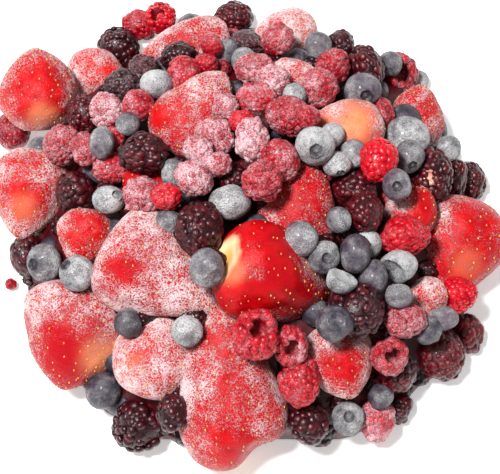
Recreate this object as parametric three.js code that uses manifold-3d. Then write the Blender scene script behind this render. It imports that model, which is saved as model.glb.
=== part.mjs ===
// A round heap of loose frozen mixed berries, made as one solid: strawberries, raspberries, bramble
// berries and blueberries, fused on a low core that is flat underneath.
// Millimetres, +Z up. The origin is on the floor under the middle of the heap.
import * as THREE from "three";
import { mergeVertices } from "three/addons/utils/BufferGeometryUtils.js";
import Module from "manifold-3d";

// Driving dimensions of the heap
const heapWidth = 188;
const heapDepth = 189;
const heapHeight = 58;
const coreInset = 9.5;
const coreFoot = 4;
const heapColour = 0xa8363f;
const heapRoughness = 0.6;

// The view that the berries' places are read in: from the front and high above
const viewElevation = THREE.MathUtils.degToRad(70);
const viewDistance = 600;
const viewTarget = new THREE.Vector3(0, -8.4, 22);

// How the berries settle: two may press into each other by a little, as frozen ones stick together
const touchShare = 0.9;
const settleRounds = 90;
const settleStep = 0.35;
const settlePull = 0.04;
const mostRise = 14;
const mostSink = 9;
const mostSinkOfLarge = 2;

// The small berries under the others, which carry those that neither reach the core nor lean on one
// that does
const footingRadius = 6;
const footingOverlap = 0.75;
const footingDepth = 2.5;
const leanShare = 0.94;
const leanShareOfLarge = 0.8;

// The small berries that fill the gaps and the hidden side, under and behind the others
const fillerCount = 10;
const fillerInset = 20;
const fillerSmallest = 5.2;
const fillerLargest = 7.4;
const fillerRoom = 0.72;
const ringCount = 20;
const ringInset = 13;
const fillerSink = 0.3;
const firstSeed = 20417;

// How deep a berry's middle lies under the mound's surface, as a share of its smaller side
const restingShare = 0.45;

// Few sides, as the fused solid stays under 12,000 triangles
const coreSides = 20;
const coreRings = 8;
const strawberrySides = 8;
const smallSides = 6;
const smallRings = 4;
const fillerSides = 5;
const fillerRings = 3;

// How much larger a faceted berry is drawn, so that its bulk is that of the round one
const strawberryGain = 1.03;
const smallGain = 1.1;
const fillerGain = 1.15;

// Where a strawberry's rings lie along its axis, from the hull end to the tip, how blunt both ends are,
// and its thickness as a share of its width
const strawberryRings = [0, 0.06, 0.26, 0.56, 0.84, 1];
const strawberryBluntness = 0.6;
const strawberryThickness = 0.86;
// The balls that stand in for a strawberry while the heap settles: share of length, share of width
const strawberryBalls = [
  [0.26, 0.45],
  [0.52, 0.4],
  [0.8, 0.24],
];

// Strawberries: across, up, width and length in the view, the tip's turn in degrees anticlockwise from
// the right, its lean towards the viewer in degrees, how far down its shoulder lies (less is more like a
// cone), and the lift out of the mound
const strawberries = [
  [-78.5, 54.5, 29, 31, 95, 10, 0.8, -2],
  [-56.5, 60, 19.5, 24.5, -20, 5, 0.75, -2],
  [-24.5, 70.5, 19.5, 37, 197, 0, 0.7, -3],
  [13.5, 75, 20.5, 25, 185, 5, 0.85, -3],
  [15.5, 58.5, 17, 21, 10, 10, 0.85, -3],
  [-20.2, 46.7, 29, 36, 52, 5, 0.62, 0],
  [36.5, 39.5, 25, 28, 160, 15, 0.8, -1],
  [61.5, 43.5, 21.5, 27, 80, 10, 0.85, -3],
  [-82.5, 16, 28, 34, 262, 10, 0.7, 0],
  [-61.5, -0.5, 21, 22.5, 262, 10, 0.7, -2],
  [-38, 20, 16, 20, 10, 0, 0.8, -5],
  [-32, -14, 40, 47.5, -33, 12, 0.45, 3],
  [9.8, -15.2, 37, 51, -22, -33, 0.6, 6],
  [18.5, 12.5, 31, 32, 75, 10, 0.65, 0],
  [60, 9, 21, 22.5, 60, 20, 0.85, 0],
  [77, -4, 36, 40, 250, 15, 0.75, 2],
  [65, -22.5, 14.5, 18, 200, 0, 0.8, -4],
  [-65, -37, 42, 40.5, 258, 12, 0.6, 2],
  [-35, -44.5, 33, 32, 75, 15, 0.8, -5],
  [-8.5, -56, 41, 64, 96, 12, 0.65, 5],
  [33, -46, 27, 30, 290, 15, 0.8, 0],
];

// The small berries: across, up, width and height in the view, and the lift out of the mound
const raspberries = [
  [-41, 79, 14, 11.5, 1],
  [-33, 81.5, 12.5, 12, 2],
  [-53, 47, 15, 14, 3],
  [-41.5, 49, 12, 12.5, 1],
  [-88, 39, 14, 14, -1],
  [-70, 34, 15, 16.5, 2],
  [-61, 33, 11.5, 13.5, -1],
  [-51, 37, 9, 9, -2],
  [-14, 71, 9, 9, 1],
  [-16.5, 64.5, 10, 9, 2],
  [-24.5, 60, 14, 14, 3],
  [1.5, 62.5, 15.5, 13.5, 2],
  [10, 73, 12.5, 13.5, 3],
  [8, 57.5, 13, 13.5, 4],
  [2, 51.5, 15, 13, 2],
  [-9, 48.5, 10, 10, 1],
  [-13, 37.5, 15, 15.5, 4],
  [-19, 32.5, 11, 12, 0],
  [-3, 43, 10, 9, -3],
  [14.5, 45, 17, 17, 4],
  [21.5, 44.5, 9, 9, 2],
  [11, 28.5, 15.5, 15.5, 6],
  [31, 63.5, 13, 13, 1],
  [25.5, 55.5, 16, 15, 4],
  [55.5, 60.5, 14.5, 16.5, 4],
  [49, 45.5, 10.5, 15, -3],
  [47.5, 28.5, 15, 15.5, 5],
  [-51.5, 25.5, 15.5, 12, -1],
  [-40, 15.5, 15.5, 14, 6],
  [-21, 22, 14, 15.5, 4],
  [-31, 15, 12.5, 11, 5],
  [-12, 27, 11, 9, -4],
  [4.5, 20.5, 16.5, 15.5, 4],
  [57.5, 0.5, 19.5, 16.5, 6],
  [77.5, -21.5, 15, 14, 5],
  [2, -36.5, 18.5, 18.5, 9],
  [15.5, -40, 14, 16.5, 6],
  [18.5, -53.5, 17, 20, 4],
  [58, -31, 16.5, 14, 5],
  [51.5, -44.5, 16, 14.5, 5],
  [47.5, -67.5, 13.5, 16.5, 3],
  [0.5, 36, 13, 17, 1],
];
const brambleBerries = [
  [-49, 70.5, 16, 15, 1],
  [-39.5, 62.5, 13, 11, -2],
  [-27, 67, 14, 12, 1],
  [-47.5, 56.5, 14, 12, 0],
  [-62, 46, 13, 14, -1],
  [-39.5, 31, 20, 17, 2],
  [-6, 81.5, 14, 12.5, 0],
  [-2, 72, 13.5, 11, -2],
  [2, 41.5, 12, 12, -4],
  [34, 72, 10, 11.5, -1],
  [43, 62.5, 15, 18, 0],
  [67.5, 23.5, 17, 18.5, 2],
  [75, 22.5, 12, 16.5, -2],
  [81.5, 20.5, 13.5, 15, 1],
  [-65.5, 16.5, 15.5, 17, 2],
  [-83, -7.5, 13, 17, -1],
  [-19, 3, 18.5, 20, 1],
  [-6, 22, 12, 12, -6],
  [39, 17.5, 17, 14.5, 0],
  [43, 9.5, 14, 15, 1],
  [-41.5, -69.5, 21.5, 20.5, 0],
  [-29, -65, 12, 15, -7],
  [40, -27, 21, 21.5, -1],
  [46, -36, 15, 14, -3],
  [54.5, -50, 15, 15, -2],
  [71.5, -44.5, 18.5, 20, 1],
  [80.5, -36, 12, 15.5, -1],
  [54.5, -63.5, 12, 12.5, -1],
  [22, -69, 16, 17.5, 0],
];
const blueberries = [
  [-35, 57, 12, 11.5, 3],
  [-78, 32.5, 10, 10, -3],
  [-55, 35, 10, 12, 0],
  [-45.5, 42, 9, 9, -4],
  [-22, 78.5, 10, 10, -3],
  [-2, 65.5, 10.5, 11, 1],
  [-8.5, 69, 9.5, 9.5, -3],
  [16.5, 53, 9, 9, -3],
  [25.5, 71, 10.5, 11, 1],
  [52, 64.5, 9.5, 9.5, -3],
  [62, 58, 8.5, 9, -3],
  [42, 54.5, 13.5, 12.5, 2],
  [57.5, 44, 12, 11, -1],
  [58.5, 37, 17, 16, 1],
  [59, 30, 11.5, 13.5, 4],
  [38.5, 31, 11, 11, 0],
  [30, 38, 10, 10, -2],
  [24, 34, 15, 15, 6],
  [32.5, 27, 11, 9.5, 1],
  [74, 33, 10, 10, 1],
  [54.5, 19.5, 11, 12, 3],
  [-52.5, 14, 12.5, 11, 3],
  [-76.5, -9.5, 13.5, 14, 3],
  [-64.5, -13.5, 13, 13.5, 4],
  [-28.5, 23.5, 10, 12, -2],
  [-7.5, 13, 15.5, 13.5, 2],
  [-16, -11.5, 13.5, 15, 10],
  [19, -0.5, 12.5, 13.5, 5],
  [27.5, -7.5, 12, 12.5, 5],
  [39, -6, 12, 15.5, 3],
  [44.5, -2.5, 10, 11, -1],
  [33, 6.5, 10, 10, 2],
  [34, -16, 12, 10.5, 2],
  [46, -15, 11.5, 14, 3],
  [55, -11, 14.5, 13, 1],
  [55.5, -22, 10.5, 10, 2],
  [-45.5, -32, 10.5, 11, 4],
  [-54.5, -57, 13.5, 14.5, 0],
  [-23.5, -35, 12, 12.5, 4],
  [31.5, -32, 13.5, 14, 4],
  [66, -34.5, 10.5, 11, 0],
  [72, -30, 11.5, 9.5, 3],
  [36.5, -67.5, 12.5, 13.5, 2],
  [48.5, -59.5, 9.5, 9.5, -4],
  [-30.5, 5.5, 10, 10, -5],
];

const right = new THREE.Vector3(1, 0, 0);
const forward = new THREE.Vector3(0, Math.cos(viewElevation), -Math.sin(viewElevation));
const upward = new THREE.Vector3(0, Math.sin(viewElevation), Math.cos(viewElevation));
const eye = viewTarget.clone().addScaledVector(forward, -viewDistance);

// The unit direction of the sight line through a place in the view
function sightLine(across, up) {
  const seen = viewTarget.clone().addScaledVector(right, across).addScaledVector(upward, up);
  return seen.sub(eye).normalize();
}

// The distance from the eye at which a sight line comes to a depth of inset under the mound's surface,
// or to that height over the floor if it gets there first
function distanceToMound(direction, inset) {
  const axes = new THREE.Vector3(heapWidth / 2 - inset, heapDepth / 2 - inset, heapHeight - inset);
  const start = eye.clone().divide(axes);
  const course = direction.clone().divide(axes);
  const a = course.lengthSq();
  const b = start.dot(course);
  const c = start.lengthSq() - 1;
  const root = b * b - a * c;
  const toFloor = (inset - eye.z) / direction.z;
  return root < 0 ? toFloor : Math.min(toFloor, (-b - Math.sqrt(root)) / a);
}

// A berry before the heap settles: its sight line, its size at that distance and its stand-in balls
function berryAt(across, up, width, length, lift, axis) {
  const direction = sightLine(across, up);
  const inset = restingShare * Math.min(width, length);
  const home = distanceToMound(direction, inset) - lift;
  const size = home / viewDistance;
  const shares = axis ? strawberryBalls : [[0.5, 0.25 + (0.25 * length) / width]];
  const axisOrUp = axis ?? upward;
  const balls = shares.map(([along, radius]) => ({
    offset: axisOrUp.clone().multiplyScalar((along - 0.5) * length * size),
    radius: radius * width * size,
  }));
  const floor = (inset * size - eye.z) / direction.z;
  const at = Math.min(home, floor);
  const mostSunk = axis ? mostSinkOfLarge : mostSink;
  const sizes = { axis: axisOrUp, width: width * size, length: length * size };
  return { direction, home, floor, at, mostSunk, ...sizes, balls };
}

function strawberryAt([across, up, width, length, turn, lean, shoulder, lift]) {
  const turned = THREE.MathUtils.degToRad(turn);
  const leaned = THREE.MathUtils.degToRad(lean);
  const axis = new THREE.Vector3()
    .addScaledVector(right, Math.cos(turned) * Math.cos(leaned))
    .addScaledVector(upward, Math.sin(turned) * Math.cos(leaned))
    .addScaledVector(forward, -Math.sin(leaned));
  return { ...berryAt(across, up, width, length, lift, axis), shoulder };
}

function smallBerryAt([across, up, width, height, lift]) {
  return berryAt(across, up, width, height, lift);
}

function centreOf(berry) {
  return eye.clone().addScaledVector(berry.direction, berry.at);
}

// The least push along the sight lines that parts two berries, or 0 if they are clear of each other
function pushBetween(one, other) {
  const between = centreOf(one).sub(centreOf(other));
  let push = 0;
  for (const ball of one.balls) {
    for (const otherBall of other.balls) {
      const apart = between.clone().add(ball.offset).sub(otherBall.offset);
      const reach = touchShare * (ball.radius + otherBall.radius);
      if (apart.lengthSq() >= reach * reach) continue;
      const along = Math.abs(apart.dot(forward));
      const sideways = apart.lengthSq() - along * along;
      push = Math.max(push, Math.sqrt(Math.max(reach * reach - sideways, 0)) - along);
    }
  }
  return push;
}

// Slides the berries along their sight lines until they hardly cross, the front one of each pair
// forwards and the other back
function settle(berries) {
  for (let round = 0; round < settleRounds; round += 1) {
    const moves = berries.map((berry) => settlePull * (berry.home - berry.at));
    berries.forEach((one, i) => {
      berries.slice(i + 1).forEach((other, k) => {
        const j = i + 1 + k;
        const push = settleStep * pushBetween(one, other);
        const side = one.at >= other.at ? 1 : -1;
        moves[i] += side * push;
        moves[j] -= side * push;
      });
    });
    berries.forEach((berry, i) => {
      const risen = Math.max(berry.at + moves[i], berry.home - mostRise);
      berry.at = Math.min(risen, berry.home + berry.mostSunk, berry.floor);
    });
  }
}

// A repeatable draw between 0 and 1
function drawFrom(seed) {
  let state = seed;
  return () => {
    state = (state * 16807) % 2147483647;
    return state / 2147483647;
  };
}

// The balls of a berry where it lies
function ballsOf(berry) {
  return berry.balls.map(({ offset, radius }) => ({ centre: centreOf(berry).add(offset), radius }));
}

// How far a ball reaches into the core, less than 0 where it stays clear of it
function depthInCore({ centre, radius }) {
  const axes = new THREE.Vector3(heapWidth / 2, heapDepth / 2, heapHeight).subScalar(coreInset);
  const height = centre.clone().divide(axes).length();
  return radius - (1 - 1 / height) * centre.length();
}

// Whether two berries, each given as its balls, lean on each other; a large one has more than one ball
function leanOnEachOther(one, other) {
  const share = one.length > 1 || other.length > 1 ? leanShareOfLarge : leanShare;
  return one.some((ball) => other.some((otherBall) => {
    return ball.centre.distanceTo(otherBall.centre) < share * (ball.radius + otherBall.radius);
  }));
}

// The berries that lie between the core and those that it doesn't carry, directly or through others
function footingsFor(berries) {
  const footings = [];
  let loose = berries.map(ballsOf);
  let carried = [];
  const carry = (test) => {
    carried = loose.filter(test);
    loose = loose.filter((balls) => !carried.includes(balls));
  };
  const spread = () => {
    while (carried.length > 0) {
      const last = carried;
      carry((balls) => last.some((other) => leanOnEachOther(balls, other)));
    }
  };
  carry((balls) => balls.some((ball) => depthInCore(ball) > footingDepth));
  spread();
  while (loose.length > 0) {
    const depths = loose.map((balls) => Math.max(...balls.map(depthInCore)));
    const lowest = loose[depths.indexOf(Math.max(...depths))];
    let last = lowest.reduce((best, ball) => (depthInCore(ball) > depthInCore(best) ? ball : best));
    const footing = [];
    while (depthInCore(last) < footingDepth) {
      const step = footingOverlap * (last.radius + footingRadius);
      const centre = last.centre.clone().setLength(last.centre.length() - step);
      centre.z = Math.max(centre.z, footingRadius - fillerSink);
      last = { centre, radius: footingRadius };
      footing.push(last);
    }
    footings.push(...footing);
    carry((balls) => balls === lowest || leanOnEachOther(balls, footing));
    spread();
  }
  return footings;
}

// Small round berries under and behind the others, wherever a spiral over the inner mound and a ring
// on the floor leave room for them
function fillersFor(berries, footings) {
  const draw = drawFrom(firstSeed);
  const goldenTurn = Math.PI * (3 - Math.sqrt(5));
  const balls = [...berries.flatMap(ballsOf), ...footings];
  const fillers = [];
  const tryAt = (angle, inset, rise) => {
    const radius = fillerSmallest + (fillerLargest - fillerSmallest) * draw();
    const level = Math.sqrt(1 - rise * rise);
    const centre = new THREE.Vector3(
      (heapWidth / 2 - inset) * level * Math.cos(angle),
      (heapDepth / 2 - inset) * level * Math.sin(angle),
      Math.max((heapHeight - inset) * rise, radius - fillerSink),
    );
    const taken = balls.some((ball) => {
      return ball.centre.distanceTo(centre) < fillerRoom * (ball.radius + radius);
    });
    if (taken) return;
    balls.push({ centre, radius });
    fillers.push({ centre, radius });
  };
  for (let k = 0; k < ringCount; k += 1) tryAt((2 * Math.PI * k) / ringCount, ringInset, 0);
  for (let k = 0; k < fillerCount; k += 1) tryAt(k * goldenTurn, fillerInset, (k + 0.5) / fillerCount);
  return fillers;
}

// Position-only geometry with its shared vertices merged, as a closed solid needs
function closed(geometry) {
  geometry.deleteAttribute("normal");
  geometry.deleteAttribute("uv");
  return mergeVertices(geometry, 1e-5);
}

const smallShape = closed(new THREE.SphereGeometry(0.5, smallSides, smallRings));
const fillerShape = closed(new THREE.SphereGeometry(0.5, fillerSides, fillerRings));

// A strawberry of unit size round its own Y, with its tip up
function strawberryShape(shoulder) {
  const outline = strawberryRings.map((along) => {
    const swell = Math.sin(Math.PI * along ** shoulder);
    return new THREE.Vector2(0.5 * Math.max(swell, 0) ** strawberryBluntness, along - 0.5);
  });
  outline[outline.length - 1].x = 0;
  return closed(new THREE.LatheGeometry(outline, strawberrySides));
}

const wasm = await Module();
wasm.setup();

function solidOf(geometry) {
  const vertProperties = new Float32Array(geometry.attributes.position.array);
  const triVerts = new Uint32Array(geometry.index.array);
  return new wasm.Manifold(new wasm.Mesh({ numProp: 3, vertProperties, triVerts }));
}

// A unit shape scaled and carried to its place, its Y along an axis and its Z as near the viewer as can be
function placed(shape, axis, size, centre) {
  const facing = forward.clone().negate().projectOnPlane(axis).normalize();
  const side = axis.clone().cross(facing);
  const matrix = new THREE.Matrix4().makeBasis(side, axis, facing).scale(size).setPosition(centre);
  return solidOf(shape.clone().applyMatrix4(matrix));
}

function solidOfBerry(berry) {
  const { shoulder, axis, width, length } = berry;
  if (shoulder) {
    const size = new THREE.Vector3(width, length, width * strawberryThickness);
    return placed(strawberryShape(shoulder), axis, size.multiplyScalar(strawberryGain), centreOf(berry));
  }
  const size = new THREE.Vector3(width, length, (width + length) / 2).multiplyScalar(smallGain);
  return placed(smallShape, axis, size, centreOf(berry));
}

function solidOfFiller({ centre, radius }) {
  const size = new THREE.Vector3(2, 2, 2).multiplyScalar(radius * fillerGain);
  return placed(fillerShape, upward, size, centre);
}

// The mound that everything is fused on, inside the berries, with a wider foot that it stands firmly on
function coreSolid() {
  const core = closed(new THREE.SphereGeometry(1, coreSides, coreRings));
  const across = heapWidth / 2 - coreInset + coreFoot;
  const along = heapDepth / 2 - coreInset + coreFoot;
  core.scale(across, along, heapHeight - coreInset);
  return solidOf(core);
}

// Everything above the floor
function aboveFloor() {
  const side = 2 * heapDepth;
  const box = closed(new THREE.BoxGeometry(side, side, side));
  box.translate(0, 0, side / 2);
  return solidOf(box);
}

const berries = [
  ...strawberries.map(strawberryAt),
  ...raspberries.map(smallBerryAt),
  ...brambleBerries.map(smallBerryAt),
  ...blueberries.map(smallBerryAt),
];
settle(berries);
const footings = footingsFor(berries);
const underBerries = [...footings, ...fillersFor(berries, footings)];
const pieces = [...berries.map(solidOfBerry), ...underBerries.map(solidOfFiller)];
const fused = pieces.reduce((all, piece) => all.add(piece), coreSolid()).intersect(aboveFloor());
const heap = fused.decompose().sort((one, other) => other.volume() - one.volume())[0];

const { vertProperties, triVerts } = heap.getMesh();
const heapGeometry = new THREE.BufferGeometry()
  .setAttribute("position", new THREE.BufferAttribute(vertProperties, 3))
  .setIndex(new THREE.BufferAttribute(triVerts, 1));
heapGeometry.computeVertexNormals();
const heapMesh = new THREE.Mesh(
  heapGeometry,
  new THREE.MeshStandardMaterial({ color: heapColour, roughness: heapRoughness, metalness: 0 }),
);
heapMesh.name = "berry_heap";

const part = new THREE.Group();
part.add(heapMesh);
export default part;
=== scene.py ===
import math
import random

import bpy
import numpy as np
from mathutils import Matrix, Vector, kdtree, noise


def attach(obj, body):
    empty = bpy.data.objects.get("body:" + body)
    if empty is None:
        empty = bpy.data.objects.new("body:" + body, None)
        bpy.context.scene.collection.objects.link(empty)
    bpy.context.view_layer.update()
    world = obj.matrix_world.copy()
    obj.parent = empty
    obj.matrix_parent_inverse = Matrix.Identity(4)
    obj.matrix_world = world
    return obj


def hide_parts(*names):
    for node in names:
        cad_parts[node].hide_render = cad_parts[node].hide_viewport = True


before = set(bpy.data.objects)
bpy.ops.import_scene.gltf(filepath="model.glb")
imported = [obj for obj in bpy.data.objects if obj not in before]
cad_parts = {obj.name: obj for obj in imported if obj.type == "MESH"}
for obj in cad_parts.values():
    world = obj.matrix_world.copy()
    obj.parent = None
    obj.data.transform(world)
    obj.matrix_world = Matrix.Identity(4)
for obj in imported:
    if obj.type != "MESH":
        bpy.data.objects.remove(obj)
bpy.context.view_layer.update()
mm = 0.001  # the heap is laid out in millimetres, and its meshes are made in metres
random.seed(20417)
print("frame loaded:", sorted(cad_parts))

# The view and the mound, as in the part's source
view = {"elevation": 70, "distance": 600, "target": (0, -8.4, 22), "pictureWidth": 186}
mound = {"width": 188, "depth": 189, "height": 58, "coreInset": 9.5}
settling = {
    "rounds": 90, "step": 0.35, "pull": 0.04, "touch": 0.9, "bedding": 0.45, "mostRise": 14, "mostSink": 9,
    "mostSinkOfLarge": 2,
}
# Plain berries: footings under those that would hang free, fillers over the unseen back
footing = {"radius": 6, "overlap": 0.75, "depth": 2.5, "lean": 0.94, "leanOfLarge": 0.8, "shown": 0.85}
filling = {
    "count": 10, "inset": 20, "ringCount": 20, "ringInset": 13, "smallest": 5.2, "largest": 7.4, "room": 0.72,
    "sink": 0.3, "seed": 20417,
}
# Smaller ones over most of what would still be bare of the core
gapFilling = {
    "count": 260, "inset": 13.5, "ringCount": 60, "ringInset": 10.5, "smallest": 4.4, "largest": 6, "room": 0.64,
    "sink": 0.2, "seed": 611, "front": -70,
}

# The core that berries sink into, without the foot that the part's own core has
coreAxes = [axis - mound["coreInset"] for axis in (mound["width"] / 2, mound["depth"] / 2, mound["height"])]
goldenTurn = math.pi * (3 - math.sqrt(5))  # spreads the points of a spiral evenly
anyTurn = 6.3  # the most that a random turn comes to, a full one

tilt = math.radians(view["elevation"])
right = Vector((1, 0, 0))
forward = Vector((0, math.cos(tilt), -math.sin(tilt)))
upward = Vector((0, math.sin(tilt), math.cos(tilt)))
target = Vector(view["target"])
eye = target - forward * view["distance"]

# Camera, at the photo's viewing angle
cameraData = bpy.data.cameras.new("camera")
cameraData.sensor_width = 36
cameraData.lens = cameraData.sensor_width * view["distance"] / view["pictureWidth"]
cameraData.clip_start = 0.01
cameraData.clip_end = 20
camera = bpy.data.objects.new("camera", cameraData)
bpy.context.scene.collection.objects.link(camera)
camera.matrix_world = Matrix.Translation(eye * mm) @ Matrix((right, upward, -forward)).transposed().to_4x4()
bpy.context.scene.camera = camera
print("camera placed")


# Strawberries: across, up, width and length in the view (mm), the tip's turn and lean (degrees), how far down
# the shoulder lies, the lift out of the mound, then the frost, how bright the red is, and the bare or white
# spots: across and up from the berry's middle, radius and change of frost
strawberryRows = [
    (-78.5, 54.5, 29, 31, 95, 10, 0.8, -2, 0.5, 0.32, [(-1, -1, 8, -0.6)]),
    (-56.5, 60, 19.5, 24.5, -20, 5, 0.75, -2, 0.72, 0.75, [(5, 0, 5, -0.3)]),
    (-24.5, 70.5, 19.5, 37, 197, 0, 0.7, -3, 0.62, 0.25, []),
    (13.5, 75, 20.5, 25, 185, 5, 0.85, -3, 0.85, 0.8, [(-9, -4, 5, -0.4)]),
    (15.5, 58.5, 17, 21, 10, 10, 0.85, -3, 0.8, 0.7, []),
    (-20.2, 46.7, 29, 36, 52, 5, 0.62, 0, 0.6, 0.3, [(-13, -3, 6, -0.6)]),
    (36.5, 39.5, 25, 28, 160, 15, 0.8, -1, 0.6, 0.95, [(3, 3, 5, -0.5), (5, -5, 4, -0.3)]),
    (61.5, 43.5, 21.5, 27, 80, 10, 0.85, -3, 0.5, 0.35, []),
    (-82.5, 16, 28, 34, 262, 10, 0.7, 0, 0.62, 0.4, [(-1, -3, 8, -0.5)]),
    (-61.5, -0.5, 21, 22.5, 262, 10, 0.7, -2, 0.5, 0.3, [(1, 3, 5, -0.4)]),
    (-38, 20, 16, 20, 10, 0, 0.8, -5, 0.15, 0.2, []),
    (-32, -14, 40, 47.5, -33, 12, 0.45, 3, 0.72, 0.12, [(-14, 2, 7, -0.55)]),
    (9.8, -15.2, 37, 51, -22, -33, 0.6, 6, 0.06, 0.25, [(12, 8, 6, 0.6), (17, 2, 5, 0.5), (-4, -15, 6, 0.35),
     (-8, 2, 4, 0.45)]),
    (18.5, 12.5, 31, 32, 75, 10, 0.65, 0, 0.48, 0.15, [(4, 6, 6, -0.3)]),
    (60, 9, 21, 22.5, 60, 20, 0.85, 0, 0.4, 0.35, [(-5, 2, 5, 0.4), (5, 3, 6, -0.5)]),
    (77, -4, 36, 40, 250, 15, 0.75, 2, 0.24, 0.34, [(-8, 14, 8, 0.5), (-13, -2, 5, 0.35), (-5, -14, 6, 0.35)]),
    (65, -22.5, 14.5, 18, 200, 0, 0.8, -4, 0.75, 0.5, []),
    (-65, -37, 42, 40.5, 258, 12, 0.6, 2, 0.45, -0.05, [(-8, 15, 9, 0.4), (12, 10, 8, 0.3), (-2, -8, 11, -0.5)]),
    (-35, -44.5, 33, 32, 75, 15, 0.8, -5, 0.78, 0.5, [(-5, 0, 4, -0.4)]),
    (-8.5, -56, 41, 64, 96, 12, 0.65, 5, 0.58, 0.25, [(5, -25, 13, -0.6), (-16, 0, 8, 0.2), (-2, 22, 6, -0.2)]),
    (33, -46, 27, 30, 290, 15, 0.8, 0, 0.75, 0.25, [(1, -2, 7, -0.75)]),
]

# Pale, bruised or cut places of some strawberries, by row: across and up from the berry's middle, radius, share
paleSpots = {
    0: [(3, -12, 6, 0.6)],
    3: [(4, 1, 7, 0.45)],
    6: [(0, 3, 11, 0.75), (4, -6, 6, 0.5)],
    8: [(-1, -6, 6, 0.3)],
    12: [(-16, 3, 5, 0.45)],
    17: [(13, -8, 9, 0.8)],
    15: [(2, -6, 6, 0.25)],
    18: [(-8, -4, 6, 0.35)],
}

# Dents in the outline of some strawberries, by row: across and up from the berry's middle, radius, depth
dents = {
    5: [(-9, 13, 5, 2)],
    12: [(15, 9, 9, 1)],
    19: [(13.5, -27.5, 8, 6)],
}

# Small berries: across, up, width and height in the view (mm), the lift, then the frost, how bright the fruit
# is, and for some where the stem end or calyx shows, across and up in shares of the half width
raspberryRows = [
    (-41, 79, 14, 11.5, 1, 0.3, 0.5), (-33, 81.5, 12.5, 12, 2, 0.15, 0.75, -0.25, 0.2),
    (-53, 47, 15, 14, 3, 0.85, 0.5), (-41.5, 49, 12, 12.5, 1, 0.5, 0.5), (-88, 39, 14, 14, -1, 0.3, 0.1),
    (-70, 34, 15, 16.5, 2, 0.6, 0.35), (-61, 33, 11.5, 13.5, -1, 0.55, 0.35), (-51, 37, 9, 9, -2, 0.4, 0.6),
    (-14, 71, 9, 9, 1, 0.35, 0.5), (-16.5, 64.5, 10, 9, 2, 0.35, 0.55), (-24.5, 60, 14, 14, 3, 0.35, 0.55),
    (1.5, 62.5, 15.5, 13.5, 2, 0.65, 0.45), (10, 73, 12.5, 13.5, 3, 0.55, 0.45), (8, 57.5, 13, 13.5, 4, 0.85, 0.5),
    (2, 51.5, 15, 13, 2, 0.55, 0.65), (-9, 48.5, 10, 10, 1, 0.85, 0.5), (-13, 37.5, 15, 15.5, 4, 0.8, 0.5),
    (-19, 32.5, 11, 12, 0, 0.85, 0.4), (-3, 43, 10, 9, -3, 0.2, 0.8), (14.5, 45, 17, 17, 4, 0.5, 0.45),
    (21.5, 44.5, 9, 9, 2, 0.4, 0.45), (11, 28.5, 15.5, 15.5, 6, 0.5, 0.5), (31, 63.5, 13, 13, 1, 0.4, 0.45),
    (25.5, 55.5, 16, 15, 4, 0.55, 0.5), (55.5, 60.5, 14.5, 16.5, 4, 0.35, 0.35, 0.2, -0.1),
    (49, 45.5, 10.5, 15, -3, 0.4, 0.35), (47.5, 28.5, 15, 15.5, 5, 0.12, 0.95), (-51.5, 25.5, 15.5, 12, -1, 0.5, 0.6),
    (-40, 15.5, 15.5, 14, 6, 0.75, 0.45), (-21, 22, 14, 15.5, 4, 0.85, 0.45), (-31, 15, 12.5, 11, 5, 0.2, 0.8),
    (-12, 27, 11, 9, -4, 0.7, 0.4), (4.5, 20.5, 16.5, 15.5, 4, 0.5, 0.5), (57.5, 0.5, 19.5, 16.5, 6, 0.2, 0.75),
    (77.5, -21.5, 15, 14, 5, 0.1, 0.95), (2, -36.5, 18.5, 18.5, 9, 0.3, 0.6, 0.24, 0.36),
    (15.5, -40, 14, 16.5, 6, 0.45, 0.55, 0.05, -0.2), (18.5, -53.5, 17, 20, 4, 0.3, 0.6),
    (58, -31, 16.5, 14, 5, 0.55, 0.35), (51.5, -44.5, 16, 14.5, 5, 0.45, 0.5, 0.25, 0.05),
    (47.5, -67.5, 13.5, 16.5, 3, 0.7, 0.7), (0.5, 36, 13, 17, 1, 0.95, 0.5),
]
brambleRows = [
    (-49, 70.5, 16, 15, 1, 0.05, 0.3), (-39.5, 62.5, 13, 11, -2, 0.45, 0.5), (-27, 67, 14, 12, 1, 0.1, 0),
    (-47.5, 56.5, 14, 12, 0, 0.35, 0.1), (-62, 46, 13, 14, -1, 0.15, 0.7), (-39.5, 31, 20, 17, 2, 0.08, 0.3),
    (-6, 81.5, 14, 12.5, 0, 0.05, 0.6), (-2, 72, 13.5, 11, -2, 0.4, 0.4), (2, 41.5, 12, 12, -4, 0.2, 0.6),
    (34, 72, 10, 11.5, -1, 0.15, 0.2), (43, 62.5, 15, 18, 0, 0.05, 0.5),
    (67.5, 23.5, 17, 18.5, 2, 0.1, 0.5, -0.25, -0.17), (75, 22.5, 12, 16.5, -2, 0.05, 0.7),
    (81.5, 20.5, 13.5, 15, 1, 0.03, 0.5), (-65.5, 16.5, 15.5, 17, 2, 0.1, 0.35), (-83, -7.5, 13, 17, -1, 0.15, 0.45),
    (-19, 3, 18.5, 20, 1, 0.08, 0.4), (-6, 22, 12, 12, -6, 0.1, 0.5), (39, 17.5, 17, 14.5, 0, 0.1, 0.5),
    (43, 9.5, 14, 15, 1, 0.1, 0.65), (-41.5, -69.5, 21.5, 20.5, 0, 0.03, 0.2), (-29, -65, 12, 15, -7, 0.05, 0.2),
    (40, -27, 21, 21.5, -1, 0.1, 0.3), (46, -36, 15, 14, -3, 0.1, 0.9), (54.5, -50, 15, 15, -2, 0.1, 0.7),
    (71.5, -44.5, 18.5, 20, 1, 0.22, 1), (80.5, -36, 12, 15.5, -1, 0.1, 0.9), (54.5, -63.5, 12, 12.5, -1, 0.05, 0.3),
    (22, -69, 16, 17.5, 0, 0.02, 0.35),
]
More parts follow.
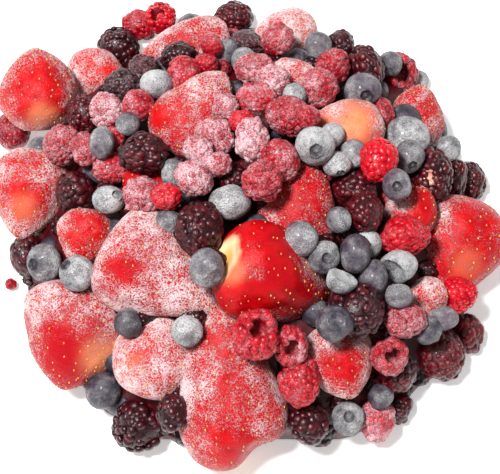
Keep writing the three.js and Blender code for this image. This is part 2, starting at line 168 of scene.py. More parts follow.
blueberryRows = [
    (-35, 57, 12, 11.5, 3, 0.75, 0.3), (-78, 32.5, 10, 10, -3, 0.5, 0.3), (-55, 35, 10, 12, 0, 0.5, 0.7),
    (-45.5, 42, 9, 9, -4, 0.5, 0.4), (-22, 78.5, 10, 10, -3, 0.5, 0.3), (-2, 65.5, 10.5, 11, 1, 0.8, 0.2),
    (-8.5, 69, 9.5, 9.5, -3, 0.4, 0.3), (16.5, 53, 9, 9, -3, 0.6, 0.3), (25.5, 71, 10.5, 11, 1, 0.55, 0.5),
    (52, 64.5, 9.5, 9.5, -3, 0.5, 0.3), (62, 58, 8.5, 9, -3, 0.9, 0.2),
    (42, 54.5, 13.5, 12.5, 2, 0.42, 0.55, 0.12, -0.4), (57.5, 44, 12, 11, -1, 0.2, 0.3),
    (58.5, 37, 17, 16, 1, 0.7, 0.1), (59, 30, 11.5, 13.5, 4, 0.35, 0.4, 0.2, -0.6), (38.5, 31, 11, 11, 0, 0.7, 0.4),
    (30, 38, 10, 10, -2, 0.7, 0.3), (24, 34, 15, 15, 6, 1, 0.1, 0.05, -0.3),
    (32.5, 27, 11, 9.5, 1, 0.8, 0.2, 0.2, -0.75), (74, 33, 10, 10, 1, 0.75, 0.2),
    (54.5, 19.5, 11, 12, 3, 0.45, 0.6, -0.05, -0.15), (-52.5, 14, 12.5, 11, 3, 0.78, 0.2, 0.55, 0.3),
    (-76.5, -9.5, 13.5, 14, 3, 0.68, 0.25, -0.55, -0.1), (-64.5, -13.5, 13, 13.5, 4, 0.62, 0.2, -0.55, 0.5),
    (-28.5, 23.5, 10, 12, -2, 0.6, 0.3), (-7.5, 13, 15.5, 13.5, 2, 0.62, 0.2), (-16, -11.5, 13.5, 15, 10, 0.38, 0.5),
    (19, -0.5, 12.5, 13.5, 5, 0.45, 0.9), (27.5, -7.5, 12, 12.5, 5, 0.62, 0.3, 0.15, -0.05),
    (39, -6, 12, 15.5, 3, 0.22, 0.4), (44.5, -2.5, 10, 11, -1, 0.8, 0.3), (33, 6.5, 10, 10, 2, 0.5, 0.5),
    (34, -16, 12, 10.5, 2, 0.95, 0.1), (46, -15, 11.5, 14, 3, 0.32, 0.4), (55, -11, 14.5, 13, 1, 0.8, 0.1),
    (55.5, -22, 10.5, 10, 2, 0.45, 0.5), (-45.5, -32, 10.5, 11, 4, 0.25, 0.2), (-54.5, -57, 13.5, 14.5, 0, 0.12, 0.2),
    (-23.5, -35, 12, 12.5, 4, 0.85, 0.15), (31.5, -32, 13.5, 14, 4, 0.16, 0.2), (66, -34.5, 10.5, 11, 0, 0.3, 0.3),
    (72, -30, 11.5, 9.5, 3, 0.4, 0.9), (36.5, -67.5, 12.5, 13.5, 2, 0.55, 0.2, 0, 0.2),
    (48.5, -59.5, 9.5, 9.5, -4, 0.2, 0.3), (-30.5, 5.5, 10, 10, -5, 0.4, 0.4),
]

# The balls that stand in for a strawberry while the heap settles: share of length, share of width
strawberryBalls = ((0.26, 0.45), (0.52, 0.4), (0.8, 0.24))


def sightLine(across, up):
    return (target + right * across + upward * up - eye).normalized()


def distanceToMound(direction, inset):
    # where a sight line comes to a depth of inset under the mound's surface, or to that height over the floor
    axes = (mound["width"] / 2 - inset, mound["depth"] / 2 - inset, mound["height"] - inset)
    start = Vector([eye[i] / axes[i] for i in range(3)])
    course = Vector([direction[i] / axes[i] for i in range(3)])
    a, b, c = course.dot(course), start.dot(course), start.dot(start) - 1
    root = b * b - a * c
    toFloor = (inset - eye.z) / direction.z
    return toFloor if root < 0 else min(toFloor, (-b - math.sqrt(root)) / a)


def placeBerry(across, up, width, length, lift, axis=None, **looks):
    direction = sightLine(across, up)
    inset = settling["bedding"] * min(width, length)
    home = distanceToMound(direction, inset) - lift
    size = home / view["distance"]
    # a small berry is one ball of its mean radius
    shares = strawberryBalls if axis else ((0.5, 0.25 + 0.25 * length / width),)
    lengthways = axis or upward
    floor = (inset * size - eye.z) / direction.z
    return {
        "direction": direction, "home": home, "floor": floor, "at": min(home, floor), "axis": lengthways,
        "width": width * size, "length": length * size, **looks,
        "mostSink": settling["mostSinkOfLarge"] if axis else settling["mostSink"],
        "balls": [(lengthways * ((along - 0.5) * length * size), radius * width * size) for along, radius in shares],
    }


def placeStrawberry(across, up, width, length, turn, lean, shoulder, lift, frost, tint, spots):
    turned, leaned = math.radians(turn), math.radians(lean)
    flat = right * math.cos(turned) + upward * math.sin(turned)
    axis = flat * math.cos(leaned) - forward * math.sin(leaned)
    looks = {"shoulder": shoulder, "frost": frost, "tint": tint, "spots": spots}
    return placeBerry(across, up, width, length, lift, axis, **looks)


def placeSmall(across, up, width, height, lift, frost, tint, *mark):
    return placeBerry(across, up, width, height, lift, frost=frost, tint=tint, mark=mark)


def centreOf(berry):
    return eye + berry["direction"] * berry["at"]


def pushBetween(one, other):
    # the least push along the sight lines that parts two berries, or 0 if they are clear of each other
    between = centreOf(one) - centreOf(other)
    push = 0
    for offset, radius in one["balls"]:
        for otherOffset, otherRadius in other["balls"]:
            apart = between + offset - otherOffset
            reach = settling["touch"] * (radius + otherRadius)
            if apart.length_squared >= reach * reach:
                continue
            along = abs(apart.dot(forward))
            sideways = apart.length_squared - along * along
            push = max(push, math.sqrt(max(reach * reach - sideways, 0)) - along)
    return push


def settle(berries):
    for _ in range(settling["rounds"]):
        moves = [settling["pull"] * (berry["home"] - berry["at"]) for berry in berries]
        for i, one in enumerate(berries):
            for j in range(i + 1, len(berries)):
                push = settling["step"] * pushBetween(one, berries[j])
                side = 1 if one["at"] >= berries[j]["at"] else -1
                moves[i] += side * push
                moves[j] -= side * push
        for berry, move in zip(berries, moves):
            risen = max(berry["at"] + move, berry["home"] - settling["mostRise"])
            berry["at"] = min(risen, berry["home"] + berry["mostSink"], berry["floor"])


def drawFrom(seed):
    # the part's own repeatable draw between 0 and 1
    while True:
        seed = seed * 16807 % 2147483647
        yield seed / 2147483647


def ballsOf(berry):
    return [(centreOf(berry) + offset, radius) for offset, radius in berry["balls"]]


def depthInCore(ball):
    # how far a ball reaches into the core, less than 0 where it stays clear of it
    centre, radius = ball
    height = Vector([centre[i] / coreAxes[i] for i in range(3)]).length
    return radius - (1 - 1 / height) * centre.length


def leanOnEachOther(one, other):
    share = footing["leanOfLarge"] if len(one) > 1 or len(other) > 1 else footing["lean"]
    return any((p - q).length < share * (r + s) for p, r in one for q, s in other)


def placeFootings(berries):
    # the berries that lie between the core and those that it doesn't carry, directly or through others
    footings = []
    loose = [ballsOf(berry) for berry in berries]
    carried = [balls for balls in loose if any(depthInCore(ball) > footing["depth"] for ball in balls)]
    while loose:
        while carried:
            loose = [balls for balls in loose if balls not in carried]
            carried = [balls for balls in loose if any(leanOnEachOther(balls, other) for other in carried)]
        if not loose:
            break
        lowest = max(loose, key=lambda balls: max(depthInCore(ball) for ball in balls))
        last = max(lowest, key=depthInCore)
        added = []
        while depthInCore(last) < footing["depth"]:
            centre, radius = last
            step = footing["overlap"] * (radius + footing["radius"])
            centre = centre.normalized() * (centre.length - step)
            centre.z = max(centre.z, footing["radius"] - filling["sink"])
            last = (centre, footing["radius"])
            added.append(last)
        footings += added
        carried = [balls for balls in loose if balls is lowest or leanOnEachOther(balls, added)]
    return footings


def placeFillers(balls, plan):
    # berries on a ring at the floor and a spiral up the mound, where they find room
    balls = list(balls)
    draw = drawFrom(plan["seed"])
    ring = [(2 * math.pi * k / plan["ringCount"], plan["ringInset"], 0) for k in range(plan["ringCount"])]
    spiral = [(k * goldenTurn, plan["inset"], (k + 0.5) / plan["count"]) for k in range(plan["count"])]
    added = []
    for angle, inset, rise in ring + spiral:
        radius = plan["smallest"] + (plan["largest"] - plan["smallest"]) * next(draw)
        level = math.sqrt(1 - rise * rise)
        centre = Vector((
            (mound["width"] / 2 - inset) * level * math.cos(angle),
            (mound["depth"] / 2 - inset) * level * math.sin(angle),
            max((mound["height"] - inset) * rise, radius - plan["sink"]),
        ))
        if any((place - centre).length < plan["room"] * (size + radius) for place, size in balls):
            continue
        balls.append((centre, radius))
        added.append((centre, radius))
    return added


heap = {
    "strawberries": [placeStrawberry(*row) for row in strawberryRows],
    "raspberries": [placeSmall(*row) for row in raspberryRows],
    "brambles": [placeSmall(*row) for row in brambleRows],
    "blueberries": [placeSmall(*row) for row in blueberryRows],
}
allBerries = [berry for kind in heap.values() for berry in kind]
settle(allBerries)
footings = placeFootings(allBerries)
allBalls = [ball for berry in allBerries for ball in ballsOf(berry)] + footings
fillers = placeFillers(allBalls, filling)
gapFillers = [ball for ball in placeFillers(allBalls + fillers, gapFilling) if ball[0].y > gapFilling["front"]]
print(
    "heap settled:", len(allBerries), "berries,", len(footings), "footings,", len(fillers), "fillers,",
    len(gapFillers), "in gaps",
)


# Mesh helpers: a form is a pair of arrays, vertices and triangles
def deselectAll():
    if bpy.context.object and bpy.context.object.mode != "OBJECT":
        bpy.ops.object.mode_set(mode="OBJECT")
    bpy.ops.object.select_all(action="DESELECT")


def addBall(segments, rings, radius=1):
    deselectAll()
    bpy.ops.mesh.primitive_uv_sphere_add(segments=segments, ring_count=rings, radius=radius)


def cutBelow(height):
    # cuts the active ball off flat
    bpy.ops.object.mode_set(mode="EDIT")
    bpy.ops.mesh.select_all(action="SELECT")
    bpy.ops.mesh.bisect(plane_co=(0, 0, height), plane_no=(0, 0, 1), use_fill=True, clear_inner=True)


def takeForm():
    # reads the active object's mesh as triangles, and removes the object
    piece = bpy.context.object
    bpy.ops.object.mode_set(mode="EDIT")
    bpy.ops.mesh.select_all(action="SELECT")
    bpy.ops.mesh.quads_convert_to_tris()
    bpy.ops.object.mode_set(mode="OBJECT")
    mesh = piece.data
    points = np.zeros(len(mesh.vertices) * 3)
    mesh.vertices.foreach_get("co", points)
    corners = np.array([polygon.vertices[:] for polygon in mesh.polygons])
    bpy.data.objects.remove(piece)
    return points.reshape(-1, 3), corners


def selectFaces(test):
    # selects the faces of the active mesh, in edit mode, whose centre passes the test
    bpy.ops.mesh.select_all(action="DESELECT")
    bpy.ops.object.mode_set(mode="OBJECT")
    for polygon in bpy.context.object.data.polygons:
        polygon.select = bool(test(polygon.center))
    bpy.ops.object.mode_set(mode="EDIT")


def joinForms(forms):
    # forms are (vertices, triangles, values of each attribute), joined into one set of arrays
    points, corners, values = [], [], {}
    count = 0
    for vertices, triangles, attributes in forms:
        points.append(vertices)
        corners.append(triangles + count)
        for name, value in attributes.items():
            values.setdefault(name, []).append(np.broadcast_to(value, len(vertices)))
        count += len(vertices)
    return np.concatenate(points), np.concatenate(corners), {k: np.concatenate(v) for k, v in values.items()}


def makePiece(name, form, material):
    points, corners, values = form
    standing = np.maximum(points, (-np.inf, -np.inf, 0))  # pressed flat where it rests on the floor
    mesh = bpy.data.meshes.new(name)
    mesh.from_pydata((standing * mm).tolist(), [], corners.tolist())
    for attribute, value in values.items():
        spread = np.array(np.broadcast_to(value, len(points)), np.float32)
        mesh.attributes.new(attribute, "FLOAT", "POINT").data.foreach_set("value", spread)
    mesh.polygons.foreach_set("use_smooth", np.ones(len(corners), bool))
    mesh.update()
    piece = bpy.data.objects.new(name, mesh)
    bpy.context.scene.collection.objects.link(piece)
    mesh.materials.append(material)
    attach(piece, "root")
    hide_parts("berry_heap")
    print(name, "made:", len(corners), "triangles")


def turnTo(direction, roll=0.0):
    # a 3x3 array that takes +Z to a direction, after a roll about +Z
    turn = Vector((0, 0, 1)).rotation_difference(Vector(direction)).to_matrix()
    return np.array(turn @ Matrix.Rotation(roll, 3, "Z"))


# The view's own axes as columns
viewBasis = np.array(Matrix((right, upward, -forward)).transposed())


# Materials
def linear(red, green, blue):
    # a colour given as 0 to 255, as Blender's sockets take it
    shares = [channel / 255 for channel in (red, green, blue)]
    return (*[c / 12.92 if c <= 0.04045 else ((c + 0.055) / 1.055) ** 2.4 for c in shares], 1)


class Shade:
    # a small wrapper for building node trees
    def __init__(self, tree):
        self.tree = tree

    def add(self, kind, values=None, **settings):
        node = self.tree.nodes.new(kind)
        for name, setting in settings.items():
            setattr(node, name, setting)
        for name, value in (values or {}).items():
            socket = node.inputs[name]
            if isinstance(value, bpy.types.NodeSocket):
                self.tree.links.new(value, socket)
            else:
                socket.default_value = value
        return node

    def math(self, operation, *values, clamp=False):
        node = self.add("ShaderNodeMath", dict(enumerate(values)), operation=operation, use_clamp=clamp)
        return node.outputs[0]

    def mix(self, share, first, second):
        values = {0: share, 6: first, 7: second}
        return self.add("ShaderNodeMix", values, data_type="RGBA").outputs[2]

    def ramp(self, value, low, high):
        values = {0: value, 1: low, 2: high}
        return self.add("ShaderNodeMapRange", values, interpolation_type="SMOOTHSTEP").outputs[0]

    def attribute(self, name):
        return self.add("ShaderNodeAttribute", attribute_name=name).outputs["Fac"]

    def noise(self, place, scale, detail=3, roughness=0.6):
        values = {"Vector": place, "Scale": scale, "Detail": detail, "Roughness": roughness}
        return self.add("ShaderNodeTexNoise", values).outputs[0]


# Frost: its patches, its ridges and grains, and how much of it shows them
frostShape = {
    "patchGain": 1.5, "patchShift": -0.75, "ridgeGain": -6.0, "grainPace": 2.6, "ridgeShare": 0.35,
    "sownGain": 0.62, "sownShift": -0.46, "crystalsFrom": 0.44, "crystalsTo": 0.88, "someFrost": 0.2,
    "fullVeil": 1.1, "height": 0.35,
}


def makeFrostGroup():
    # frost as a thin veil, and as fine ridges and grains that close up where more of it lies
    shape = frostShape
    group = bpy.data.node_groups.new("frostCover", "ShaderNodeTree")
    for name, low, high in (("Frost", 0, 1), ("Ridges", 100, 3000), ("Patches", 10, 1000)):
        socket = group.interface.new_socket(name, in_out="INPUT", socket_type="NodeSocketFloat")
        socket.min_value, socket.max_value = low, high
    for name in ("Veil", "Crystals", "Height"):
        group.interface.new_socket(name, in_out="OUTPUT", socket_type="NodeSocketFloat")
    shade = Shade(group)
    given = shade.add("NodeGroupInput").outputs
    place = shade.add("ShaderNodeTexCoord").outputs["Object"]
    patches = shade.noise(place, given["Patches"])
    patchRun = (shape["patchGain"], shape["patchShift"])
    cover = shade.math("ADD", given["Frost"], shade.math("MULTIPLY_ADD", patches, *patchRun))
    folds = shade.noise(place, given["Ridges"], 2, 0.5)
    away = shade.math("ABSOLUTE", shade.math("SUBTRACT", folds, 0.5))
    ridges = shade.math("MULTIPLY_ADD", away, shape["ridgeGain"], 1.0, clamp=True)
    grains = shade.noise(place, shade.math("MULTIPLY", given["Ridges"], shape["grainPace"]), 2, 0.7)
    mixed = shade.math("ADD", shade.math("MULTIPLY", ridges, shape["ridgeShare"]), grains)
    sown = shade.math("MULTIPLY_ADD", cover, shape["sownGain"], shape["sownShift"])
    crystals = shade.ramp(shade.math("ADD", mixed, sown), shape["crystalsFrom"], shape["crystalsTo"])
    some = shade.ramp(given["Frost"], 0.0, shape["someFrost"])
    shown = shade.math("MULTIPLY", crystals, some)
    veil = shade.math("MULTIPLY", shade.ramp(cover, 0.0, shape["fullVeil"]), some)
    height = shade.math("MULTIPLY", shade.math("ADD", shown, shape["height"]), mixed)
    shade.add("NodeGroupOutput", {"Veil": veil, "Crystals": shown, "Height": height})
    return group


frostGroup = makeFrostGroup()
frostWhite = linear(244, 222, 224)
# What the skins of all kinds have in common
skinShape = {
    "blotchGain": 1.4, "blotchShift": -0.7, "blotchRelief": 0.6, "bump": 0.9, "glowRadius": (1, 0.18, 0.1),
    "glowDepth": 0.003, "coatRough": 0.12,
}


def makeFruitMaterial(name, looks):
    # fruit whose colour runs from one to another with its tint, under frost
    material = bpy.data.materials.new(name)
    material.use_nodes = True
    material.node_tree.nodes.clear()
    shade = Shade(material.node_tree)
    place = shade.add("ShaderNodeTexCoord").outputs["Object"]
    blotches = shade.noise(place, looks["blotches"], 5, 0.7)
    uneven = shade.math("MULTIPLY_ADD", blotches, skinShape["blotchGain"], skinShape["blotchShift"])
    tint = shade.math("ADD", shade.attribute("tint"), uneven, clamp=True)
    skin = shade.mix(tint, looks["dark"], looks["bright"])
    for attribute, colour in looks.get("marks", {}).items():
        skin = shade.mix(shade.attribute(attribute), skin, colour)
    frost = shade.add("ShaderNodeGroup", node_tree=frostGroup)
    frost.inputs["Ridges"].default_value = looks["ridges"]
    frost.inputs["Patches"].default_value = looks["patches"]
    shade.tree.links.new(shade.attribute("frost"), frost.inputs["Frost"])
    veiled = shade.mix(shade.math("MULTIPLY", frost.outputs["Veil"], looks["veilShare"]), skin, looks["veil"])
    colour = shade.mix(shade.math("MULTIPLY", frost.outputs["Crystals"], looks["crystalShare"]), veiled, looks["frost"])
    rough = shade.add("ShaderNodeMapRange", {0: frost.outputs["Veil"], 3: looks["gloss"], 4: looks["rough"]})
    relief = shade.math("ADD", frost.outputs["Height"], shade.math("MULTIPLY", blotches, skinShape["blotchRelief"]))
    bumpValues = {"Height": relief, "Distance": looks["relief"] * mm, "Strength": skinShape["bump"]}
    bump = shade.add("ShaderNodeBump", bumpValues)
    values = {
        "Base Color": colour, "Roughness": rough.outputs[0], "Normal": bump.outputs[0],
        "Subsurface Weight": looks["glow"], "Subsurface Radius": skinShape["glowRadius"],
        "Subsurface Scale": skinShape["glowDepth"], "Specular IOR Level": looks["specular"],
        "Coat Weight": looks["coat"], "Coat Roughness": skinShape["coatRough"],
    }
    shader = shade.add("ShaderNodeBsdfPrincipled", values)
    output = shade.add("ShaderNodeOutputMaterial")
    shade.tree.links.new(shader.outputs[0], output.inputs[0])
    return material


strawberryMaterial = makeFruitMaterial("strawberrySkin", {
    "dark": linear(166, 0, 16), "bright": linear(222, 16, 4), "blotches": 120,
    "marks": {"hull": linear(240, 204, 158), "pith": linear(224, 168, 84), "cut": linear(232, 150, 104)},
    "veil": linear(196, 14, 34), "veilShare": 0.5, "frost": frostWhite, "crystalShare": 0.85,
    "ridges": 900, "patches": 140, "specular": 0.2, "gloss": 0.32, "rough": 0.75, "relief": 0.5, "glow": 0.1,
    "coat": 0.0,
})
raspberryMaterial = makeFruitMaterial("raspberrySkin", {
    "dark": linear(116, 0, 18), "bright": linear(198, 0, 24), "blotches": 200,
    "veil": linear(206, 40, 66), "veilShare": 0.42, "frost": linear(246, 222, 228), "crystalShare": 0.68,
    "ridges": 1100, "patches": 200, "specular": 0.28, "gloss": 0.26, "rough": 0.65, "relief": 0.3, "glow": 0.12,
    "coat": 0.15,
})
brambleMaterial = makeFruitMaterial("brambleSkin", {
    "dark": linear(36, 3, 10), "bright": linear(94, 4, 15), "blotches": 300,
    "marks": {"hull": linear(214, 150, 130)},
    "veil": linear(98, 40, 50), "veilShare": 0.36, "frost": linear(206, 190, 196), "crystalShare": 0.55,
    "ridges": 1100, "patches": 300, "specular": 0.4, "gloss": 0.28, "rough": 0.55, "relief": 0.3, "glow": 0.0,
    "coat": 0.06,
})
blueberryMaterial = makeFruitMaterial("blueberrySkin", {
    "dark": linear(34, 36, 46), "bright": linear(84, 56, 76), "blotches": 260,
    "marks": {"hull": linear(40, 34, 40)},
    "veil": linear(148, 148, 151), "veilShare": 0.92, "frost": linear(228, 226, 226), "crystalShare": 0.6,
    "ridges": 1100, "patches": 260, "specular": 0.4, "gloss": 0.4, "rough": 0.8, "relief": 0.5, "glow": 0.0,
    "coat": 0.08,
})
print("materials made")


# Drupelet: the bead of raspberries and brambles, cut off flat. Berries under others have the plainer under form.
drupeletShape = {
    "segments": 7, "rings": 5, "underSegments": 5, "underRings": 3, "cut": -0.3, "size": 1.16, "narrow": 0.95,
    "wide": 1.08, "heights": (0.85, 1.15), "outAndIn": 0.25, "creviceFrom": 0.1, "creviceOver": 0.7,
}
clusterShape = {
    "body": 0.9, "cupSegments": 16, "cupRings": 12, "underSegments": 9, "underRings": 6, "lip": 0.03,
    "hollowWidth": 0.4, "slimTip": 0.12, "swellPaces": (1.6, 2.4, 3.4),
}


def makeDrupelet(segments, rings):
    addBall(segments, rings)
    cutBelow(drupeletShape["cut"])
    return takeForm()


def makeCup(openAngle, depth, segments, rings):
    # the body under the drupelets: a ball with a hollow pushed into its stem end, in two steps
    addBall(segments, rings, clusterShape["body"])
    bpy.ops.object.mode_set(mode="EDIT")
    selectFaces(lambda centre: centre.z > clusterShape["body"] * math.cos(openAngle))
    bpy.ops.mesh.inset(thickness=clusterShape["lip"])
    bpy.ops.transform.translate(value=(0, 0, -depth * 0.5))
    bpy.ops.mesh.extrude_region_move(TRANSFORM_OT_translate={"value": (0, 0, -depth * 0.5)})
    return takeForm()


drupelet = makeDrupelet(drupeletShape["segments"], drupeletShape["rings"])
underDrupelet = makeDrupelet(drupeletShape["underSegments"], drupeletShape["underRings"])


def makeClusterForm(count, openAngle, hollow, flatness, jitter, under=False):
    # a berry of drupelets on a unit ball: a spiral from the tip, at -Z, up to the opening at +Z
    shape = drupeletShape
    cupSides = ("underSegments", "underRings") if under else ("cupSegments", "cupRings")
    cupPoints, cupFaces = makeCup(openAngle, hollow, *[clusterShape[name] for name in cupSides])
    inHollow = (cupPoints[:, 2] > 0) & (np.hypot(cupPoints[:, 0], cupPoints[:, 1]) < clusterShape["hollowWidth"])
    forms = [(cupPoints, cupFaces, {"deep": 1.0, "bead": 0.5, "hull": inHollow.astype(float)})]
    beadPoints, beadFaces = underDrupelet if under else drupelet
    deep = np.clip(1 - (beadPoints[:, 2] - shape["creviceFrom"]) / shape["creviceOver"], 0, 1)
    highest = math.cos(openAngle)
    beadSize = shape["size"] * math.sqrt(2 * (1 + highest) / count)
    for k in range(count):
        height = -1 + (1 + highest) * (k + 0.5) / count
        angle = k * goldenTurn + random.uniform(-jitter, jitter)
        level = math.sqrt(1 - height * height)
        outward = Vector((level * math.cos(angle), level * math.sin(angle), height))
        size = beadSize * random.uniform(1 - jitter, 1 + jitter)
        tall = flatness * size * random.uniform(*shape["heights"])
        sides = (size * shape["narrow"], size * shape["wide"], tall)
        bead = (beadPoints * sides) @ turnTo(outward, random.uniform(0, anyTurn)).T
        reach = 1 - tall + random.uniform(-shape["outAndIn"], shape["outAndIn"]) * jitter
        narrow = 1 - clusterShape["slimTip"] * max(-height, 0)
        points = (bead + np.array(outward) * reach) * (narrow, narrow, 1)
        forms.append((points, beadFaces, {"deep": deep, "bead": random.random(), "hull": 0.0}))
    return joinForms(forms)


# Two forms each of small, middling and large berries: the most width (mm) that they are for, and how many
# drupelets they have
anyWidth = 99
raspberryCounts = ((12, 64), (15, 84), (anyWidth, 104))
brambleCounts = ((13, 56), (17, 80), (anyWidth, 112))
raspberryShape = {"openAngle": 0.42, "hollow": 0.8, "flatness": 0.62, "jitter": 0.16}
openedShape = {"openAngle": 0.6, "hollow": 0.95, "flatness": 0.62, "jitter": 0.16}
brambleShape = {"openAngle": 0.3, "hollow": 0.12, "flatness": 0.74, "jitter": 0.24}
underShape = {"openAngle": 0.3, "hollow": 0.12, "flatness": 0.7, "jitter": 0.2, "under": True}
crumbShape = {"openAngle": 0.3, "hollow": 0.3, "flatness": 0.8, "jitter": 0.2}


def makeClusterForms(counts, shape):
    return [(most, [makeClusterForm(count, **shape) for _ in range(2)]) for most, count in counts]


raspberryForms = makeClusterForms(raspberryCounts, raspberryShape)
openedRaspberry = makeClusterForm(90, **openedShape)
brambleForms = makeClusterForms(brambleCounts, brambleShape)
underForms = makeClusterForms([(anyWidth, 30)], underShape)
print("cluster forms made")


def awayFromView():
    # a direction, in the view's own axes, that turns a berry's opening out of sight
    angle = random.uniform(0, 2 * math.pi)
    tip = random.uniform(-0.9, -0.35)
    level = math.sqrt(1 - tip * tip)
    return Vector((level * math.cos(angle), level * math.sin(angle), tip))


def towardsMark(mark):
    across, up = mark
    return Vector((across, up, math.sqrt(max(0.02, 1 - across * across - up * up))))


def swellings(points, amount):
    # slow random swellings and hollows over a unit form, as a scale for each of its points
    swell = np.zeros(len(points))
    for pace in clusterShape["swellPaces"]:
        wave = np.array([random.gauss(0, pace) for _ in range(3)])
        swell += np.sin(points @ wave + random.uniform(0, anyTurn)) / pace
    return (1 + amount * swell)[:, None]


def carry(points, berry, opening, amount):
    # a unit form made uneven, turned so that its +Z is the opening, stretched to the berry's size and put in place
    width, height = berry["width"], berry["length"]
    uneven = points * swellings(points, amount)
    turned = uneven @ turnTo(opening, random.uniform(0, anyTurn)).T
    sized = turned * (width / 2, height / 2, (width + height) / 4)
    return sized @ viewBasis.T + np.array(centreOf(berry))


def makeClusters(berries, forms, looks, opened=None):
    made = []
    for k, berry in enumerate(berries):
        kinds = next(kinds for most, kinds in forms if berry["width"] <= most)
        points, corners, values = opened if opened and berry["mark"] else kinds[k % len(kinds)]
        opening = towardsMark(berry["mark"]) if berry["mark"] else awayFromView()
        placed = carry(points, berry, opening, looks["swell"])
        deep = values["deep"]
        frost = berry["frost"] * (looks["onTop"] + (looks["inCrevice"] - looks["onTop"]) * deep)
        # painted shade: the tint is darkened where the fruit lies deep between the drupelets
        tint = np.clip(berry["tint"] + looks["uneven"] * (values["bead"] - 0.5) - looks["paintedCreviceShade"] * deep, 0, 1)
        hull = values["hull"] if berry["mark"] else 0.0
        made.append((placed, corners, {"frost": np.clip(frost, 0, 1), "tint": tint, "hull": hull}))
    return joinForms(made)


def makeFillerBerries(places, looks):
    return [
        {"width": 2 * radius, "length": 2 * radius, "direction": (centre - eye).normalized(),
         "at": (centre - eye).length, "mark": (), **looks}
        for centre, radius in places
    ]


raspberryLooks = {"onTop": 0.8, "inCrevice": 0.95, "uneven": 0.35, "paintedCreviceShade": 0.25, "swell": 0.1}
brambleLooks = {"onTop": 0.8, "inCrevice": 1.1, "uneven": 0.5, "paintedCreviceShade": 0.5, "swell": 0.09}
# Footings are drawn as the darkest unfrosted brambles and fillers low in tint: painted shade where they show in the
# gaps
shownFootings = [(centre, footing["shown"] * radius) for centre, radius in footings]
footingBerries = makeFillerBerries(shownFootings, {"frost": 0, "tint": 0.05})
fillerPlaces = {"raspberries": [], "brambles": [], "blueberries": []}
for k, place in enumerate(fillers + gapFillers):
    atFront = place[0].y < 0
    kinds = ("brambles" if atFront else "raspberries", "brambles", "blueberries")
    fillerPlaces[kinds[k % len(kinds)]].append(place)
fillerFrost = {"raspberries": 0.4, "brambles": 0.1, "blueberries": 0.15}
fillerBerries = {k: makeFillerBerries(fillerPlaces[k], {"frost": fillerFrost[k], "tint": 0.2}) for k in fillerPlaces}

# A crumb of raspberry that lies on the floor beside the heap
crumb = {"across": -88.9, "up": -17.5, "radius": 2.5, "drupelets": 16}
crumbWay = sightLine(crumb["across"], crumb["up"])
crumbPlace = eye + crumbWay * ((crumb["radius"] - eye.z) / crumbWay.z)
crumbBerries = makeFillerBerries([(crumbPlace, crumb["radius"])], {"frost": 0.1, "tint": 0.3})
crumbForms = [(anyWidth, [makeClusterForm(crumb["drupelets"], **crumbShape)])]

raspberryForm = joinForms([
    makeClusters(heap["raspberries"], raspberryForms, raspberryLooks, openedRaspberry),
    makeClusters(fillerBerries["raspberries"], underForms, raspberryLooks),
    makeClusters(crumbBerries, crumbForms, raspberryLooks),
])
makePiece("raspberries", raspberryForm, raspberryMaterial)
brambleForm = joinForms([
    makeClusters(heap["brambles"], brambleForms, brambleLooks),
    makeClusters(fillerBerries["brambles"] + footingBerries, underForms, brambleLooks),
])
makePiece("bramble_berries", brambleForm, brambleMaterial)


# Blueberry: a ball with its calyx, a sunk disc inside a raised rim of five lobes
blueberryShape = {
    "segments": 24, "rings": 16, "calyx": 0.4, "shoulder": 0.02, "rim": 0.07, "rimWidth": 0.06, "sink": 0.16,
    "disc": (0.9, 0.9, 0.3), "crownAbove": 0.85, "crownBeyond": 0.22, "lobes": 5, "lobeRise": 0.03,
    "hullFrom": 0.3, "hullTo": 0.85, "squash": 0.93, "swell": 0.06, "frostSide": 0.25, "leastSide": 0.4,
    "bareHull": 0.4,
}


def makeBlueberryForm():
    shape = blueberryShape
    addBall(shape["segments"], shape["rings"])
    bpy.ops.object.mode_set(mode="EDIT")
    selectFaces(lambda centre: math.hypot(centre.x, centre.y) < shape["calyx"] and centre.z > 0)
    bpy.ops.mesh.inset(thickness=shape["shoulder"])
    bpy.ops.transform.translate(value=(0, 0, shape["rim"]))
    bpy.ops.mesh.inset(thickness=shape["rimWidth"])
    bpy.ops.mesh.extrude_region_move(TRANSFORM_OT_translate={"value": (0, 0, -shape["sink"])})
    bpy.ops.transform.resize(value=shape["disc"])
    points, corners = takeForm()
    across = np.hypot(points[:, 0], points[:, 1])
    turn = np.arctan2(points[:, 1], points[:, 0])
    crown = (points[:, 2] > shape["crownAbove"]) & (across > shape["crownBeyond"])
    points[:, 2] += np.where(crown, shape["lobeRise"] * np.cos(shape["lobes"] * turn), 0)
    share = across / shape["calyx"]
    hull = ((points[:, 2] > 0) & (share < shape["hullTo"]) & (share > shape["hullFrom"])).astype(float)
    return points * (1, 1, shape["squash"]), corners, {"hull": hull}


blueberryForm = makeBlueberryForm()


# Cut or collapsed sides of some blueberries, by row: the side's direction in the view's axes, how far it lies
# from the middle in shares of the radius, and how hollow it is
flatSides = {
    26: ((0.5, -0.6, 0.6), 0.75, 0.1),
    32: ((0.45, 0.8, 0.4), 0.35, 0.2),
    34: ((-0.6, -0.6, 0.55), 0.5, 0.35),
    38: ((0.5, -0.5, 0.7), 0.75, 0.15),
    39: ((0.1, 0.2, 1), 0.85, 0.2),
}


def flatten(points, berry, side):
    # presses the points that lie beyond a plane back to it, and hollows them
    direction, distance, hollow = side
    radius = (berry["width"] + berry["length"]) / 4
    outward = viewBasis @ np.array(Vector(direction).normalized())
    away = (points - np.array(centreOf(berry))) / radius
    beyond = away @ outward - distance
    spread = np.clip(1 - (np.linalg.norm(away, axis=1) ** 2 - (away @ outward) ** 2) / (1 - distance ** 2), 0, 1)
    push = np.clip(beyond, 0, 1) + np.where(beyond > 0, hollow * spread, 0)
    return points - np.outer(push, outward) * radius


